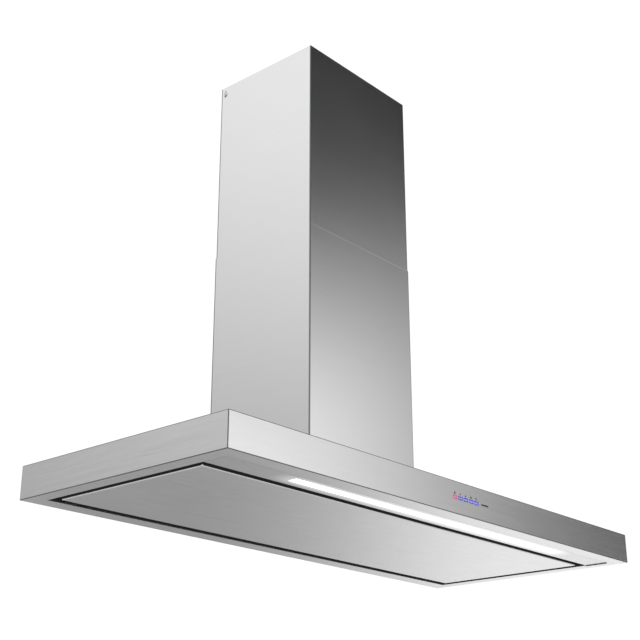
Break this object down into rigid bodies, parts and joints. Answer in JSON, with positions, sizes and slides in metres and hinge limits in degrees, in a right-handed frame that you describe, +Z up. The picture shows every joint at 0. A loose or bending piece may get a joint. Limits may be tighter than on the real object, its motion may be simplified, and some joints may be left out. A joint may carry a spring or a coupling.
{
  "type": "wall-mounted range hood",
  "caption": "Flat rectangular stainless canopy hood for a wall, with telescoping square chimney, perimeter suction panel, light bar and push buttons.",
  "frame": {"origin": "centre of the canopy's underside", "axes": "+X to the right seen from the front, +Y towards the wall, +Z up"},
  "size_m": [1.2, 0.5, 1.017],
  "materials": {
    "brushed_steel": "brushed stainless steel, grain along the width",
    "cover_steel": "brushed stainless steel, grain across the chimney",
    "galvanised_steel": "matt galvanised sheet",
    "black_sheet": "matt black powder coat",
    "aluminium": "satin",
    "filter_mesh": "expanded mesh layers",
    "lamp_diffuser": "milky, lit",
    "ring_red": "lit translucent",
    "ring_blue": "lit translucent",
    "button_cap": "satin",
    "dark_window": "glossy dark filter",
    "black_plastic": "fine texture",
    "grey_plastic": "fine texture",
    "white_plastic": "satin",
    "circuit_board": "solder mask",
    "zinc": "bright zinc",
    "magnet": "matt",
    "copper": "enamelled winding",
    "shaft_steel": "ground",
    "rubber": "matt"
  },
  "bodies": {
    "canopy": {"blower_box": "galvanised_steel", "cable_gland": "black_plastic", "canopy_shell": "brushed_steel", "canopy_top": "brushed_steel", "capacitor": "white_plastic", "control_board": "circuit_board", "control_housing": "black_plastic", "control_lead": "black_plastic", "cover_locators": "galvanised_steel", "duct_collar": "black_plastic", "filter_deck": "black_sheet", "filter_rails": "black_sheet", "grease_filter_frame_left": "aluminium", "grease_filter_frame_right": "aluminium", "grease_filter_mesh_left": "filter_mesh", "grease_filter_mesh_right": "filter_mesh", "hinge_brackets": "zinc", "inlet_rings": "black_plastic", "junction_box": "grey_plastic", "junction_box_lid": "grey_plastic", "led_board": "white_plastic", "led_channel": "aluminium", "led_diffuser": "lamp_diffuser", "led_driver": "white_plastic", "light_panel": "brushed_steel", "light_ring_red": "ring_red", "light_rings_blue": "ring_blue", "magnet_catches": "magnet", "motor_bearings": "shaft_steel", "motor_bracket": "galvanised_steel", "motor_shell": "aluminium", "motor_stator": "copper", "outlet_adaptor": "black_plastic", "plenum_walls": "galvanised_steel", "receiver_window": "dark_window", "rubber_bushes": "rubber", "scroll_left": "black_plastic", "scroll_right": "black_plastic", "sheet_screws": "zinc", "wall_hooks": "zinc"},
    "lower_cover": {"lower_cover": "cover_steel"},
    "upper_cover": {"upper_cover": "cover_steel", "upper_wall_bracket": "galvanised_steel", "cover_screws": "zinc"},
    "suction_panel": {"suction_panel": "brushed_steel", "panel_stiffeners": "galvanised_steel", "panel_hinge_arms": "zinc", "strike_plates": "galvanised_steel"},
    "impeller": {"impeller": "grey_plastic", "motor_shaft": "shaft_steel", "motor_rotor": "shaft_steel"},
    "damper_flap_front": {"damper_flap_front": "grey_plastic"},
    "damper_flap_rear": {"damper_flap_rear": "grey_plastic"},
    "filter_latch_left": {"filter_latch_left": "grey_plastic"},
    "filter_latch_right": {"filter_latch_right": "grey_plastic"},
    "button_1": {"button_1": "button_cap"},
    "button_2": {"button_2": "button_cap"},
    "button_3": {"button_3": "button_cap"},
    "button_4": {"button_4": "button_cap"},
    "button_5": {"button_5": "button_cap"}
  },
  "joints": [
    {"name": "lower_cover_lift", "type": "slide", "parent": "canopy", "child": "lower_cover", "axis": [0, 0, 1], "range_m": [0, 0.38]},
    {"name": "chimney_extension", "type": "slide", "parent": "canopy", "child": "upper_cover", "axis": [0, 0, 1], "range_m": [-0.38, 0.07]},
    {"name": "suction_panel_hinge", "type": "hinge", "parent": "canopy", "child": "suction_panel", "pos_m": [0, 0.204, 0.008], "axis": [1, 0, 0], "range_deg": [0, 85]},
    {"name": "impeller_spin", "type": "hinge", "parent": "canopy", "child": "impeller", "pos_m": [0, 0.099, 0.185], "axis": [1, 0, 0], "continuous": true},
    {"name": "damper_front_hinge", "type": "hinge", "parent": "canopy", "child": "damper_flap_front", "pos_m": [0, 0.14673, 0.384], "axis": [-1, 0, 0], "range_deg": [0, 75]},
    {"name": "damper_rear_hinge", "type": "hinge", "parent": "canopy", "child": "damper_flap_rear", "pos_m": [0, 0.15193, 0.384], "axis": [1, 0, 0], "range_deg": [0, 75]},
    {"name": "filter_latch_left_pull", "type": "slide", "parent": "canopy", "child": "filter_latch_left", "axis": [0, 1, 0], "range_m": [0, 0.006], "stiffness_N_per_m": 400, "springref_m": -0.005},
    {"name": "filter_latch_right_pull", "type": "slide", "parent": "canopy", "child": "filter_latch_right", "axis": [0, 1, 0], "range_m": [0, 0.006], "stiffness_N_per_m": 400, "springref_m": -0.005},
    {"name": "button_1_press", "type": "slide", "parent": "canopy", "child": "button_1", "axis": [0, 1, 0], "range_m": [0, 0.0012], "stiffness_N_per_m": 800, "springref_m": -0.0005},
    {"name": "button_2_press", "type": "slide", "parent": "canopy", "child": "button_2", "axis": [0, 1, 0], "range_m": [0, 0.0012], "stiffness_N_per_m": 800, "springref_m": -0.0005},
    {"name": "button_3_press", "type": "slide", "parent": "canopy", "child": "button_3", "axis": [0, 1, 0], "range_m": [0, 0.0012], "stiffness_N_per_m": 800, "springref_m": -0.0005},
    {"name": "button_4_press", "type": "slide", "parent": "canopy", "child": "button_4", "axis": [0, 1, 0], "range_m": [0, 0.0012], "stiffness_N_per_m": 800, "springref_m": -0.0005},
    {"name": "button_5_press", "type": "slide", "parent": "canopy", "child": "button_5", "axis": [0, 1, 0], "range_m": [0, 0.0012], "stiffness_N_per_m": 800, "springref_m": -0.0005}
  ]
}
